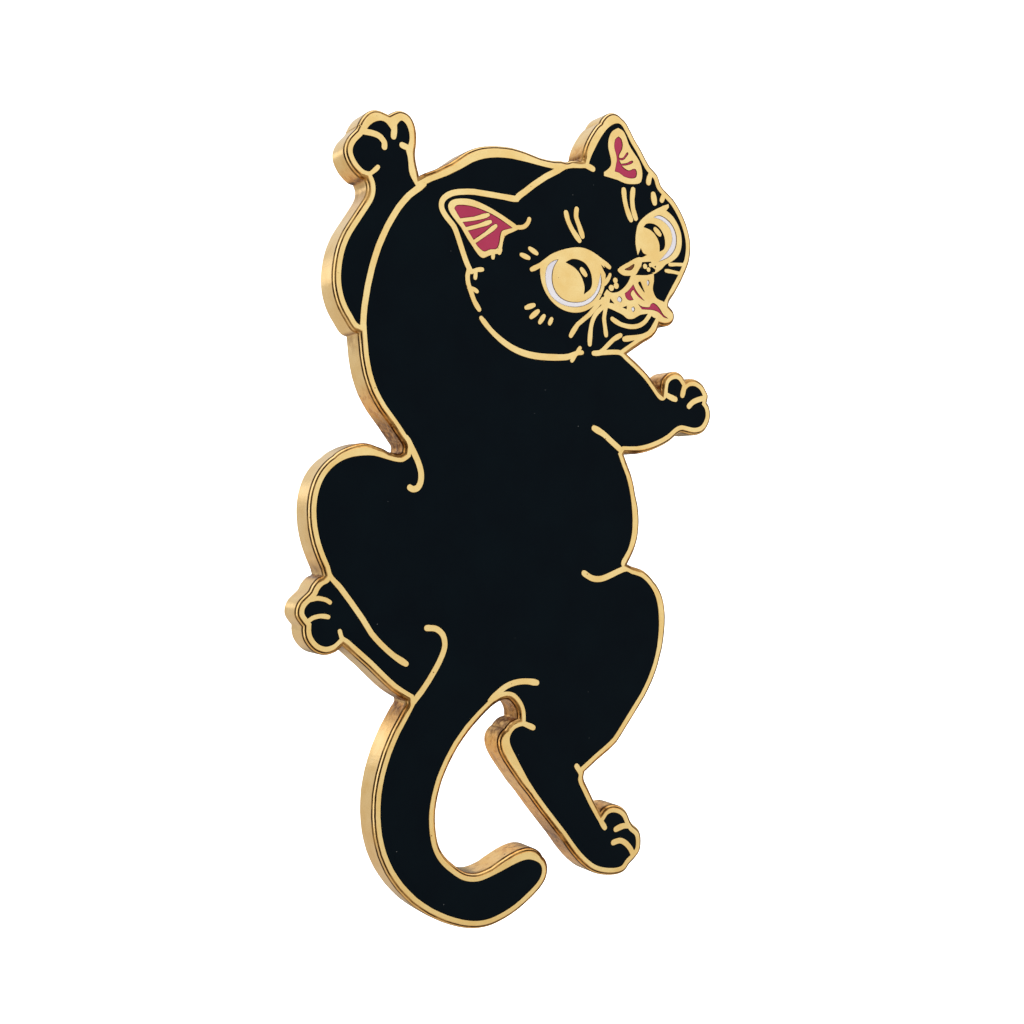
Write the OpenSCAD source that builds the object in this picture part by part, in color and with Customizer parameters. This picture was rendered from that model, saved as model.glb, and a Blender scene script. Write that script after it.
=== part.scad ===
// Hard enamel pin: a black cat seen from behind, climbing, with its head turned back over its shoulder.
// The front faces -Y and +Z is up. The two posts stand out of the back along +Y.
// The origin is on the back face, midway between the posts.

/* [Plate] */
// Height of the pin, tail to ear tip
pin_h = 50; // [45:1:60]
// Thickness of the struck plate with its raised lines
plate_t = 1.9; // [1.6:0.1:2.4]
// Depth of the enamel cells
cell_depth = 0.5; // [0.3:0.05:0.7]
// How far the enamel surface lies under the line tops
enamel_drop = 0.02; // [0:0.01:0.05]
// Width of the metal rim round the enamel
rim_w = 0.5; // [0.4:0.05:0.7]
// Setback of the rim's top from the plate's edge
shoulder = 0.12; // [0.05:0.01:0.2]

/* [Lines] */
// Width of a body line
line_w = 0.4; // [0.3:0.01:0.5]
// Width of a toe line
toe_w = 0.38; // [0.3:0.01:0.45]
// Width of a whisker
whisker_w = 0.32; // [0.24:0.01:0.4]
// Width of a short fur stroke
fur_w = 0.28; // [0.2:0.01:0.35]

/* [Posts] */
// Distance between the two posts
post_gap = 15; // [12:0.5:18]
// Length of a post from the plate's back to its point
post_len = 8.6; // [7.6:0.1:10]
// Radius of a post
post_r = 0.6; // [0.5:0.05:0.65]
// Length of the pointed tip
tip_len = 1; // [0.6:0.1:1.5]
// Radius of the flat head that is soldered to the plate
head_r = 2.2; // [1.5:0.1:2.6]
// Thickness of the flat head
head_t = 0.4; // [0.3:0.05:0.5]
// Width of the solder ring round the head
solder_w = 0.7; // [0.4:0.1:1]

/* [Clutches] */
// Radius of the clutch disc
disc_r = 5.7; // [5:0.1:6]
// Thickness of the clutch sheet
sheet_t = 0.35; // [0.3:0.05:0.4]
// Radius of the disc's rolled edge
roll_r = 0.45; // [0.35:0.05:0.5]
// Length of the housing, across the wings' line
housing_w = 5.8; // [5.4:0.1:6]
// Length of the housing, along the wings' line
housing_l = 6.4; // [6:0.1:6.6]
// Height of the housing above the disc
housing_h = 2.7; // [2.6:0.1:3]
// Width of the spring leaves and wings
leaf_w = 4.4; // [4:0.1:4.6]
// Radius of the hole in a spring leaf
leaf_hole_r = 1; // [0.9:0.05:1.1]
// Gap between a leaf's hole and the post at rest
grip_gap = 0.02; // [0.01:0.01:0.05]
// How high the wings reach from the plate's back
wing_top = 6.2; // [5.6:0.1:6.6]

/* [Hidden] */
$fn = 48;
// The drawing below is made for a pin this tall
drawn_h = 50;
// The place of the origin in the drawing
seat_at = [2, 2.5];
// Sheet of metal that is left behind the enamel cells
floor_t = plate_t - cell_depth;
// Gap that keeps the enamel's walls off the metal's
fill_gap = 0.01;
// Degrees of turn that one straight piece of a curve stands for, and pieces of each round line end
turn_step = 11;
end_steps = 5;
// Radial gap of the disc and housing round a post
bore_gap = 0.2;
// The disc's underside, clear of the post's head and its solder
disc_y = head_t + 0.1;
// Where the housing stands, a hair above the disc it turns with
housing_y = disc_y + sheet_t + 0.03;
leaf_offset = leaf_hole_r - post_r - grip_gap;
lower_leaf_y = housing_y + 0.5;
upper_leaf_y = lower_leaf_y + sheet_t + 0.25;
// The keeper groove lies just past the housing
groove_y = housing_y + housing_h + 0.4;
groove_w = 0.6;
groove_depth = 0.2;

// ---- curves ----

// Point at t on the smooth curve from b to c, with neighbours a and d
function between(a, b, c, d, t) =
    (2 * b + (c - a) * t + (2 * a - 5 * b + 4 * c - d) * t * t + (3 * b - a - 3 * c + d) * t * t * t) / 2;

// How many straight pieces the stretch from b to c takes: more where the curve turns more
function pieces(a, b, c, d) = let(u = c - a, v = d - b, cross = u[0] * v[1] - u[1] * v[0])
    max(1, ceil(abs(atan2(cross, u * v)) / turn_step));

function stretch(a, b, c, d) = let(n = pieces(a, b, c, d)) [for (k = [0 : n - 1]) between(a, b, c, d, k / n)];

// Smooth open curve through p, with sharp ends
function curve(p) = let(last = len(p) - 1) concat(
    [for (i = [0 : last - 1]) each stretch(p[max(i - 1, 0)], p[i], p[i + 1], p[min(i + 2, last)])],
    [p[last]]);

// Smooth closed curve through p
function ring(p) = let(m = len(p))
    [for (i = [0 : m - 1]) each stretch(p[(i + m - 1) % m], p[i], p[(i + 1) % m], p[(i + 2) % m])];

// Several smooth runs, joined with a corner where each ends
function runs(list) = [for (run = list) each curve(run)];

// Direction of the curve c at its point i, in degrees
function heading(c, i) = let(d = c[min(i + 1, len(c) - 1)] - c[max(i - 1, 0)]) atan2(d[1], d[0]);

function around(p, r, a) = p + r * [cos(a), sin(a)];

// Outline of a line of width w with round ends along the points p, that is mid wide half way
function stroke(p, w, mid) =
    let(c = curve(p), last = len(c) - 1, at_end = heading(c, last), at_start = heading(c, 0),
        half = [for (i = [0 : last]) (w + (mid - w) * sin(180 * i / last)) / 2])
    concat(
        [for (i = [0 : last]) around(c[i], half[i], heading(c, i) + 90)],
        [for (k = [1 : end_steps - 1]) around(c[last], w / 2, at_end + 90 - 180 * k / end_steps)],
        [for (i = [last : -1 : 0]) around(c[i], half[i], heading(c, i) - 90)],
        [for (k = [1 : end_steps - 1]) around(c[0], w / 2, at_start - 90 - 180 * k / end_steps)]);

module line(p, w = line_w, mid = 0) polygon(stroke(p, w, max(mid, w)));

module blob(p) polygon(ring(p));

module dot(p, r) translate(p) circle(r, $fn = 16);

// ---- the drawing: what lies inside the rim ----

// The raised foreleg with its paw, overlapping the body behind the body line
module foreleg_field() polygon(runs([
    [[-9.35, 19.5], [-9.75, 19.55], [-10.2, 19.95], [-10.45, 20.5], [-10.3, 21], [-9.85, 21.5]],
    [[-9.5, 22], [-9.2, 22.3], [-8.8, 22.48], [-8.4, 22.43], [-8, 22]],
    [[-7.75, 22.2], [-7.6, 22.5], [-7.38, 22.68], [-7.1, 22.5], [-6.92, 22.1], [-6.88, 21.7], [-6.95, 21.4]],
    [[-7.12, 21], [-7, 20.6], [-6.95, 20.1], [-6.85, 19.6], [-6.4, 18.9]],
    [[-7, 17], [-8.5, 14.5], [-9.2, 12], [-9.75, 10.6]],
    [[-10.05, 10.7], [-10.5, 11.25], [-10.9, 11.95], [-11.13, 12.8], [-11.15, 13.7], [-10.95, 14.8],
     [-10.55, 15.75], [-10, 16.6], [-9.5, 17.35], [-9.15, 17.95], [-9.03, 18.5], [-9.1, 19]],
]));

// Top of the back, the head and its right-hand side down to the chin
back_and_head = [
    [[-6.15, 19], [-5.4, 19.4], [-4.4, 19.85], [-3.5, 20.35], [-2.7, 20.85], [-1.9, 21.17], [-1, 21.35],
     [0, 21.4], [1, 21.33], [2.2, 21.2], [3, 21.15]],
    [[3.8, 21.2], [4.4, 21.37], [5, 21.43], [5.5, 21.5]],
    [[5.62, 21.95], [6, 22.75], [6.5, 23.6], [7, 24.2], [7.45, 24.52], [7.85, 24.6], [8.15, 24.4],
     [8.45, 23.95], [8.75, 23.5], [9.2, 22.95], [9.6, 22.35], [10, 21.85], [10.5, 21.45]],
    [[10.68, 21.05], [10.85, 20.75], [11.4, 20.3], [11.8, 20], [12.2, 19.55], [12.6, 18.95], [12.9, 18.3],
     [13.08, 17.6], [13.08, 17], [12.95, 16.4], [12.7, 15.85], [12.35, 15.2], [11.9, 14.5], [11.3, 13.5]],
    [[11.35, 13.1], [11.75, 12.75], [11.65, 12.55], [11.25, 12.5], [10.75, 12.6]],
    [[10.5, 12], [10.15, 11.6], [9.6, 11.3], [8.95, 10.9]],
];

// Right foreleg, flank and right thigh down to the back of the knee
right_side = [
    [[7.7, 10.1], [8.3, 9.65], [9, 9.15], [9.8, 8.5], [10.4, 7.85], [10.9, 7.3], [11.3, 7.2], [11.65, 7.5]],
    [[11.65, 7.9], [11.75, 8.35], [12.1, 8.6], [12.5, 8.58], [12.9, 8.1]],
    [[13.15, 8], [13.4, 8.2], [13.85, 8.22], [14.25, 8], [14.5, 7.6]],
    [[14.4, 7.05], [14.63, 6.8], [14.72, 6.4], [14.6, 6], [14.3, 5.65], [13.8, 5.52], [13.2, 5.6],
     [12.7, 5.65], [12.2, 5.45], [11.6, 5], [10.8, 4.62], [10, 4.35], [9.2, 4.2], [8.1, 4.18]],
    [[7.75, 3.7], [8.05, 3], [8.37, 2.3], [8.62, 1.5], [8.8, 0.5], [8.87, -0.5], [8.8, -1.5], [8.5, -2.4],
     [8, -3.2], [8.2, -3.7]],
    [[8.8, -3.95], [9.5, -4.15], [10.1, -4.6], [10.55, -5.2], [10.82, -5.9], [10.93, -6.7], [10.92, -7.6],
     [10.78, -8.7], [10.5, -9.7], [10.05, -10.7], [9.5, -11.6], [8.8, -12.5], [8.05, -13.45],
     [7.4, -14.25], [6.8, -14.7], [6, -15.2], [4.9, -15.95]],
];

// Right shin and foot, up to the top of the gap beside the tail
right_leg = [
    [[4.75, -16.6], [5.1, -17.45], [5.55, -18.3], [6.1, -19.2], [6.45, -19.7]],
    [[6.75, -19.35], [7, -19.07], [7.4, -19], [7.85, -19.15], [8.15, -19.45], [8.35, -19.9]],
    [[8.65, -20.3], [9.05, -20.65], [9.13, -21.1], [9.05, -21.5], [8.7, -21.85]],
    [[8.3, -22.15], [8.05, -22.42], [7.6, -22.5], [6.9, -22.42], [6.2, -22.2], [5.65, -21.85],
     [5.1, -21.35], [4.5, -20.65], [3.9, -19.85], [3.2, -19], [2.5, -18.15], [1.8, -17.25], [1.2, -16.4],
     [0.7, -15.55], [0.25, -14.75], [-0.05, -14.2], [-0.15, -13.8], [-0.05, -13.45], [0.25, -13.15],
     [0.6, -13.05], [0.95, -13]],
];

// The tail, from the gap's top round its tip and back up its outer side
tail = [
    [[0.98, -12.6], [0.92, -12], [0.65, -11.45], [0.2, -11], [-0.35, -10.85], [-0.9, -10.95],
     [-1.6, -11.3], [-2.4, -11.95], [-3.2, -12.7], [-4, -13.65], [-4.6, -14.6], [-5.1, -15.6],
     [-5.42, -16.6], [-5.6, -17.6], [-5.6, -18.5], [-5.45, -19.5], [-5.15, -20.25], [-4.7, -20.85],
     [-4.2, -21.3], [-3.6, -21.75], [-3, -22], [-2.3, -22.08], [-1.6, -21.95], [-0.8, -21.7],
     [0, -21.42], [0.6, -21.25], [1.15, -21.2], [1.65, -21.35], [2, -21.6], [2.12, -21.95],
     [2, -22.4], [1.6, -22.85], [1, -23.3], [0.2, -23.8], [-0.6, -24.15], [-1.5, -24.4],
     [-2.4, -24.42], [-3.4, -24.2], [-4.4, -23.8], [-5.4, -23.25], [-6.4, -22.5], [-7.25, -21.6],
     [-7.9, -20.65], [-8.35, -19.65], [-8.62, -18.6], [-8.72, -17.5], [-8.67, -16.3], [-8.45, -15.2],
     [-8.05, -14], [-7.5, -12.85], [-6.85, -11.8], [-6.5, -11.2]],
];

// Left hind leg with its paw, the left thigh and the left side of the body
left_side = [
    [[-6.6, -10.65], [-7, -10.42], [-7.7, -9.95], [-8.4, -9.32], [-9.2, -8.55], [-10, -7.85],
     [-10.7, -7.25], [-11.05, -7]],
    [[-11.35, -7.25], [-11.65, -7.48], [-12.1, -7.58], [-12.55, -7.4], [-12.88, -7], [-12.97, -6.6],
     [-12.95, -6.25]],
    [[-13.2, -5.95], [-13.38, -5.65], [-13.28, -5.3], [-12.9, -4.95]],
    [[-12.65, -4.7], [-12.5, -4.4], [-12.25, -4.13], [-11.9, -3.95], [-11.7, -3.6]],
    [[-11.85, -3.05], [-12.1, -2.5], [-12.4, -1.7], [-12.6, -0.8], [-12.66, 0.1], [-12.55, 1],
     [-12.25, 1.8], [-11.8, 2.4], [-11.2, 2.85], [-10.5, 3.12], [-9.8, 3.22], [-9.1, 3.22],
     [-8.5, 3.08], [-7.9, 2.93], [-7.3, 2.9], [-6.8, 3.2]],
    [[-6.7, 3.9], [-7.1, 4.55], [-7.7, 5.35], [-8.35, 6.15], [-8.9, 7.05], [-9.25, 8], [-9.45, 9],
     [-9.55, 10], [-9.6, 10.8], [-9.55, 11.8], [-9.35, 12.9], [-9.1, 14], [-8.7, 15.2], [-8.15, 16.4],
     [-7.45, 17.55], [-6.8, 18.3]],
];

module body_field() polygon(runs(concat(back_and_head, right_side, right_leg, tail, left_side)));

// The rim is heavier here than elsewhere
module heavy_rim() {
    // down the right flank and round the right thigh
    line([[8.28, 3], [8.6, 2.2], [8.86, 1.4], [9.1, 0.4], [9.18, -0.6], [9.08, -1.6], [8.82, -2.4], [8.5, -3.05],
        [8.35, -3.4]], 0.3, 0.6);
    line([[9.59, -3.92], [10.3, -4.4], [10.8, -5.05], [11.1, -5.8], [11.24, -6.8], [11.2, -7.7], [11.05, -8.75],
        [10.75, -9.8], [10.32, -10.75], [9.99, -11.28]], 0.3, 0.62);
    line([[5.35, 22.1], [5.6, 22.8], [6.08, 23.6], [6.6, 24.25], [7.2, 24.7]], 0.4, 0.64);
    // left edge of the right shin
    line([[-0.15, -13.15], [-0.5, -13.45], [-0.62, -13.95], [-0.45, -14.6], [0, -15.35], [0.75, -16.45],
        [1.5, -17.4]], 0.3, 0.62);
    // over the back
    line([[-6.05, 19.5], [-5, 19.98], [-4, 20.5], [-3, 21.2], [-2, 21.62], [-1, 21.8], [0, 21.84], [1, 21.72],
        [2, 21.52], [3, 21.48], [3.8, 21.55]], 0.4, 0.6);
    // round the raised paw and its wrist
    line([[-9.95, 22.05], [-9.6, 22.5], [-9.1, 22.8], [-8.6, 22.87], [-8.05, 22.78]], 0.3, 0.6);
    line([[-8.05, 22.78], [-7.75, 22.95], [-7.4, 23.04], [-7, 22.9], [-6.75, 22.55], [-6.63, 22.1], [-6.62, 21.5],
        [-6.68, 21], [-6.62, 20.4], [-6.5, 19.95], [-6.4, 19.6]], 0.45, 0.58);
    // tip of the right ear
    line([[6.25, 23.85], [6.65, 24.5], [7.15, 24.9], [7.7, 24.97], [8.25, 24.65], [8.75, 23.95]], 0.3, 0.6);
    // over the left thigh
    line([[-8.3, 3.4], [-9, 3.6], [-9.6, 3.66], [-10.2, 3.58], [-10.8, 3.4], [-11.4, 3.1], [-11.9, 2.7]], 0.3, 0.62);
    // over the tip of the tail
    line([[-2.2, -21.9], [-1.5, -21.62], [-0.8, -21.3], [0, -20.97], [0.9, -20.76], [1.6, -20.87], [2.05, -21.2],
        [2.3, -21.7]], 0.3, 0.56);
}

// The cut edge of the plate
module outline() {
    offset(delta = rim_w) {
        foreleg_field();
        body_field();
    }
    heavy_rim();
}

// ---- the drawing: raised lines ----

body_line = [[-5.95, 19.2], [-6.9, 18.42], [-7.6, 17.6], [-8.3, 16.45], [-8.85, 15.25], [-9.25, 14.05],
    [-9.52, 12.95], [-9.72, 11.8], [-9.8, 10.8], [-9.78, 10]];

module body_lines() {
    line(body_line);
    // hook at the left flank
    line([[-7.1, 4.3], [-6.75, 3.75], [-6.4, 3.1], [-6.15, 2.4], [-6.15, 1.8], [-6.35, 1.42], [-6.65, 1.33],
        [-6.85, 1.42]]);
    // armpit
    line([[8.4, 3.75], [7.95, 3.95], [7.4, 4.35], [6.7, 4.88], [5.95, 5.25]]);
    // right groin
    line([[8.9, -3.5], [8.1, -3.65], [7.3, -3.95], [6.5, -4.2], [5.8, -4.15], [5.2, -3.82]]);
    // edge of the left thigh over the shin
    line([[-11.9, -3.55], [-11.25, -4.25], [-10.55, -5.15], [-9.85, -6.1], [-9.3, -6.95], [-8.7, -7.6],
        [-7.9, -8.3], [-7.1, -8.82]], 0.36);
    // root of the tail, left side
    line([[-6.7, -11.15], [-6.1, -10.5], [-5.6, -9.85], [-5.1, -9.1], [-4.75, -8.45], [-4.57, -7.85],
        [-4.7, -7.25], [-5.15, -6.87], [-5.75, -6.8]], 0.38);
    // root of the tail, right side
    line([[-1.5, -11.35], [-0.9, -10.85], [-0.3, -10.5], [0.4, -10.33], [1.1, -10.33], [1.75, -10.45]], 0.38);
    // back of the knee and the small spurs of the right leg
    line([[0.6, -12.8], [1.1, -13], [1.5, -13.18]], 0.36);
    line([[5, -16.4], [4.85, -16.1], [4.65, -15.82]], 0.36);
    line([[6.1, -18.75], [6.5, -19.5], [6.75, -19.88]], 0.36);
}

module toe_lines() {
    // raised paw
    line([[-10.1, 21.75], [-9.3, 21.72], [-8.8, 21.6], [-8.5, 21.3], [-8.48, 21.02]], toe_w);
    line([[-7.88, 22.9], [-7.85, 22.3], [-7.9, 21.7]], toe_w);
    line([[-6.6, 21], [-6.95, 21.15], [-7.35, 21.27]], toe_w);
    line([[-9.5, 19.3], [-9.15, 19.55], [-8.88, 19.82]], fur_w);
    // right paw
    line([[11.2, 7.75], [11.7, 7.5], [12.25, 7.32]], toe_w);
    line([[13.1, 8.7], [12.98, 8.15], [12.82, 7.6]], toe_w);
    line([[14.9, 7.55], [14.3, 7.42], [13.7, 7.2], [13.35, 6.9]], toe_w);
    // left hind paw
    line([[-13.3, -6.2], [-12.9, -5.95], [-12.4, -5.85], [-11.95, -5.92]], fur_w);
    line([[-13.1, -4.95], [-12.6, -4.85], [-12.1, -4.95], [-11.85, -5.1]], fur_w);
    line([[-11.1, -7.5], [-11.15, -7.1], [-11.25, -6.75]], fur_w);
    // right hind foot
    line([[8.75, -19.98], [8.2, -19.93], [7.6, -20.08]], toe_w);
    line([[9, -22], [8.75, -21.5], [8.35, -21.05], [7.9, -20.83], [7.4, -20.9]], toe_w);
}

module head_lines() {
    // back of the head and the left ear's edge, down to the cheek
    line([[0.35, 19.05], [0.9, 19.5], [1.6, 20.05], [2.4, 20.6], [3.3, 21.1], [3.9, 21.5]]);
    line([[0.35, 19], [-0.6, 19.03], [-1.6, 19.07], [-2.6, 19.1], [-3.5, 19], [-4.2, 18.8], [-4.7, 18.4],
        [-4.77, 17.9], [-4.45, 17.4], [-4, 16.95], [-3.65, 16.2], [-3.35, 15.4], [-3.05, 14.7],
        [-2.85, 14.35]], 0.38);
    line([[-2.95, 14.5], [-3.05, 14.05], [-3, 13.6], [-2.85, 13.2], [-2.6, 12.6], [-2.27, 12.12]], 0.33);
    line([[-2.8, 14.3], [-2.45, 14.45], [-2.05, 14.52]], fur_w);
    line([[-2.5, 14.35], [-2.53, 13.98]], fur_w);
    line([[-2.95, 13.35], [-2.65, 13.3], [-2.42, 13.18]], fur_w);
    // lower edge of the head
    line([[-2.12, 11.6], [-1.5, 10.95], [-0.8, 10.4], [0, 9.95], [0.8, 9.68], [1.6, 9.55], [2.5, 9.52],
        [3.4, 9.55], [4.1, 9.65], [4.6, 9.85], [5.05, 9.95]], 0.3, 0.44);
    line([[4.3, 9.4], [4.55, 9.75], [4.9, 10.22]], fur_w);
    // neck and chin
    line([[5.92, 9.95], [6.6, 10.03], [7.3, 10.1], [7.9, 10.1], [8.4, 9.9]], 0.34);
    line([[6.4, 10.05], [6.9, 10.45], [7.4, 10.9], [7.95, 11.2]], whisker_w);
    line([[8.25, 10.98], [8.9, 11.1], [9.6, 11.22], [10.2, 11.5], [10.6, 12], [10.85, 12.4]], 0.36);
    // short spurs where the ear and cheek meet the rim
    line([[5.1, 21.75], [5.55, 21.6], [5.85, 21.5]]);
    line([[10.4, 21.9], [10.2, 21.5], [10.12, 21.15]]);
    line([[11.35, 20.5], [11.17, 20.12]], 0.36);
    line([[10.5, 20.42], [10.6, 19.9]]);
}

module whiskers() {
    line([[6.4, 13.2], [5.6, 12.35], [4.75, 11.7], [4.22, 10.95]], whisker_w);
    line([[6.7, 13], [6, 12.3], [5.7, 11.5], [5.62, 10.5]], whisker_w);
    line([[6.85, 13], [6.7, 12.2], [6.78, 11.6], [6.85, 11.15]], whisker_w);
    line([[11.8, 16.03], [12.3, 16.08], [13.1, 16.13]], 0.25);
    line([[11.5, 15.6], [12.1, 15.57], [12.8, 15.5]], 0.25);
}

// Brow marks and the dashes on the cheek
module face_dashes() {
    line([[3.87, 18.55], [4, 18.1], [4.35, 17.5], [4.85, 16.92]], 0.35);
    line([[4.65, 18.85], [4.62, 18.35], [4.85, 17.8], [5.08, 17.2]], 0.35);
    line([[8.2, 20.45], [8.25, 19.95], [8.42, 19.3], [8.75, 18.62]], 0.37);
    line([[8.92, 20.55], [8.85, 19.95], [8.92, 19.3], [9.12, 18.75]], 0.37);
    line([[1.27, 16.08], [1.75, 15.83]], fur_w);
    line([[0.67, 15.65], [1.18, 15.5]], fur_w);
    line([[1, 12.45], [1.55, 12.65]], fur_w);
    line([[1.35, 11.9], [1.85, 12.3]], fur_w);
    line([[1.97, 11.62], [2.27, 12.03]], fur_w);
    line([[2.68, 11.6], [2.82, 11.88]], fur_w);
}

// ---- the drawing: broad metal areas of the face ----

left_lid = [[1.4, 14.82], [2, 15.12], [2.8, 15.7], [3.6, 16.05], [4.4, 16.27], [5.1, 16.32], [5.8, 16.15],
    [6.5, 15.8], [7.1, 15.45]];

module left_eye_metal() difference() {
    union() {
        intersection() {
            translate([4.4, 14.8]) circle(2.42);
            polygon(concat(curve(left_lid), [[7.1, 12], [1.4, 12]]));
        }
        line(left_lid, 0.3, 0.36);
        // tick at the inner corner
        line([[6.75, 14.35], [7.15, 14.98]], 0.25);
    }
    polygon([[6.48, 15.55], [6.8, 15.32], [7.15, 15.2], [6.95, 14.85], [6.78, 15.05]]);
}

module right_eye_metal() polygon(runs([
    [[9.28, 16.4], [9.1, 17.1], [9.13, 17.8], [9.3, 18.4], [9.7, 18.85], [10.2, 19.22], [10.8, 19.55],
     [11.3, 19.8], [11.72, 19.95]],
    [[11.75, 19.72], [11.55, 19.5]],
    [[11.9, 19.3], [12.35, 18.85], [12.68, 18.25], [12.78, 17.6], [12.68, 17], [12.4, 16.55], [11.95, 16.22],
     [11.5, 16]],
    [[11.2, 15.7], [10.6, 15.3]],
    [[9.5, 15.6], [9.5, 16.3]],
    [[9.98, 16.48], [9.7, 16.58], [9.52, 16.88]],
]));

module left_ear_metal() {
    blob([[-4.35, 18.15], [-4.1, 18.45], [-3.6, 18.6], [-2.9, 18.65], [-2.2, 18.52], [-1.4, 18.25], [-0.6, 17.9],
        [0.1, 17.55], [0.5, 17.25], [0.1, 16.97], [-0.35, 16.75], [-0.55, 16.5], [-0.65, 16.05],
        [-0.82, 15.6], [-1.2, 15.5], [-1.6, 15.37], [-2, 15.2], [-2.35, 15.38], [-2.7, 15.8],
        [-3.1, 16.3], [-3.5, 16.9], [-4, 17.4], [-4.3, 17.8]]);
    line([[0.25, 17.27], [0.8, 17.35], [1.1, 17.6], [1.22, 17.87]], 0.3);
    line([[-1.3, 15.55], [-1.32, 15.3]], fur_w);
    line([[-0.8, 15.85], [-0.88, 15.62]], fur_w);
}

module right_ear_metal() polygon(runs([
    [[7.78, 24.33], [7.3, 24.05], [7.03, 23.5], [7.02, 22.9], [7.2, 22.3], [7.2, 21.9], [6.95, 21.6], [6.68, 21.4]],
    [[6.68, 21.15], [7.1, 21.1], [7.7, 21.02], [8.3, 20.87], [9, 20.9], [9.48, 21.05], [9.63, 21.4],
     [9.62, 21.9], [9.4, 22.45], [9, 22.9], [8.6, 23.4], [8.4, 23.85], [8.15, 24.2]],
]));

module nose_metal() blob([[7.72, 15.3], [8, 15.6], [8.5, 15.87], [8.95, 16.13], [9.4, 16.3], [9.65, 16.2],
    [9.5, 15.7], [9.3, 15.35], [9.1, 15.12], [8.6, 15.02], [8.1, 15.03]]);

module muzzle_metal() {
    polygon(runs([
        [[6.3, 13.2], [6.9, 14.05]],
        [[7.3, 13.87], [7.75, 13.95], [8.25, 14.3], [8.6, 14.75], [8.75, 15.1]],
        [[9.3, 15.15], [10, 15.2], [10.55, 15.35]],
        [[10.55, 14.8], [10.48, 14.3], [10.75, 13.8], [11.25, 13.62]],
        [[12, 13.3], [12, 12.3], [11, 12.4]],
        [[10.5, 12.5], [10.15, 12.7], [9.85, 12.67], [9.45, 12.58], [9, 12.33], [8.5, 12.28], [8.15, 12.48],
         [7.6, 12.68], [7, 12.85], [6.6, 12.9]],
    ]));
    // lip
    line([[7.32, 12.2], [7.9, 11.92], [8.7, 11.8], [9.4, 11.92], [9.9, 12.25], [10.25, 12.7]], whisker_w);
    // the left whisker pad's dots
    dot([7.55, 14.65], 0.19);
    dot([7.62, 14.32], 0.21);
    dot([7.25, 14.15], 0.21);
}

module face_metal() {
    left_eye_metal();
    right_eye_metal();
    left_ear_metal();
    right_ear_metal();
    nose_metal();
    muzzle_metal();
}

module metal_lines() {
    body_lines();
    toe_lines();
    head_lines();
    whiskers();
    face_dashes();
    face_metal();
}

// ---- the drawing: enamel cells ----

// Everything on the raised foreleg's side of the body line
module foreleg_side() polygon(concat(curve(body_line), [[-13, 9], [-13, 24], [-6, 24]]));

// Black round the right whisker pad's dots
module right_pad() polygon([[9.15, 15.15], [9.5, 15.5], [9.62, 15.98], [10.3, 16.07], [10.35, 15.98],
    [10.5, 15.75], [10.7, 15.85], [10.62, 15.45], [10, 15.22]]);

module right_pad_dots() {
    dot([9.85, 15.74], 0.18);
    dot([10.12, 15.56], 0.16);
    dot([10.28, 15.86], 0.15);
    line([[10.3, 15.86], [10.75, 15.62]], 0.14);
}

module black_fill() difference() {
    union() {
        difference() {
            union() {
                foreleg_field();
                body_field();
            }
            metal_lines();
        }
        right_pad();
    }
    right_pad_dots();
}

module black_body_cell() difference() {
    black_fill();
    foreleg_side();
}

module black_foreleg_cell() intersection() {
    black_fill();
    foreleg_side();
}

module left_pupil_cell() difference() {
    polygon(runs([
        [[3.85, 15.47], [4.3, 15.7], [4.8, 15.7], [5.3, 15.5], [5.65, 15.05], [5.78, 14.5], [5.68, 14], [5.2, 13.6]],
        [[5.25, 14], [5.15, 14.4], [4.9, 14.85], [4.5, 15.2]],
    ]));
    line([[5.02, 15.13], [5.3, 14.82]], whisker_w);
}

module right_pupil_cell() difference() {
    polygon(runs([
        [[9.75, 18.25], [10, 18.48], [10.5, 18.52], [10.95, 18.33], [11.3, 17.9], [11.42, 17.4], [11.33, 17],
         [11, 16.8]],
        [[11, 17.2], [10.85, 17.6], [10.55, 17.95], [10.2, 18.15]],
    ]));
    line([[10.65, 18.2], [11, 17.9]], whisker_w);
}

module left_eye_white_cell() polygon(runs([
    [[3.3, 15.6], [2.85, 15.42], [2.5, 15.05], [2.38, 14.5], [2.48, 13.85], [2.85, 13.25], [3.5, 12.87],
     [4.3, 12.74], [5.1, 12.85], [5.8, 13.2], [6.3, 13.8], [6.5, 14.4], [6.44, 15]],
    [[6.33, 14.5], [6.1, 13.9], [5.7, 13.45], [5.1, 13.13], [4.4, 13.04], [3.8, 13.12], [3.3, 13.4],
     [2.98, 13.85], [2.86, 14.4], [2.95, 15]],
]));

module right_eye_white_cell() polygon(runs([
    [[10.55, 18.95], [10.9, 19.12], [11.4, 19.02], [11.9, 18.7], [12.22, 18.25], [12.35, 17.75], [12.28, 17.2],
     [12, 16.75], [11.55, 16.4], [10.95, 16.15]],
    [[11.3, 16.5], [11.7, 16.95], [11.95, 17.4], [12, 17.85], [11.85, 18.3], [11.5, 18.65], [11.1, 18.85]],
]));

module left_ear_pink_cell() difference() {
    polygon(runs([
        [[-3.93, 17.98], [-3.75, 18.17], [-3.2, 18.24], [-2.6, 18.2], [-2, 18.07], [-1.4, 17.9], [-0.7, 17.6],
         [0.03, 17.22]],
        [[-0.35, 17.1], [-0.7, 16.95], [-0.82, 16.6], [-0.9, 16.15], [-1.1, 15.85], [-1.5, 15.78],
         [-1.9, 15.62], [-2.2, 15.75], [-2.42, 15.95]],
        [[-2.75, 16.4], [-3.2, 17], [-3.6, 17.5]],
    ]));
    line([[-3.7, 17.27], [-2.6, 17.5], [-1.65, 17.83]], 0.25);
    line([[-3.3, 16.77], [-2.3, 17.1], [-1.5, 17.43]], 0.25);
    line([[-2.7, 16.05], [-1.8, 16.68], [-1.12, 17.22]], 0.25);
}

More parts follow.
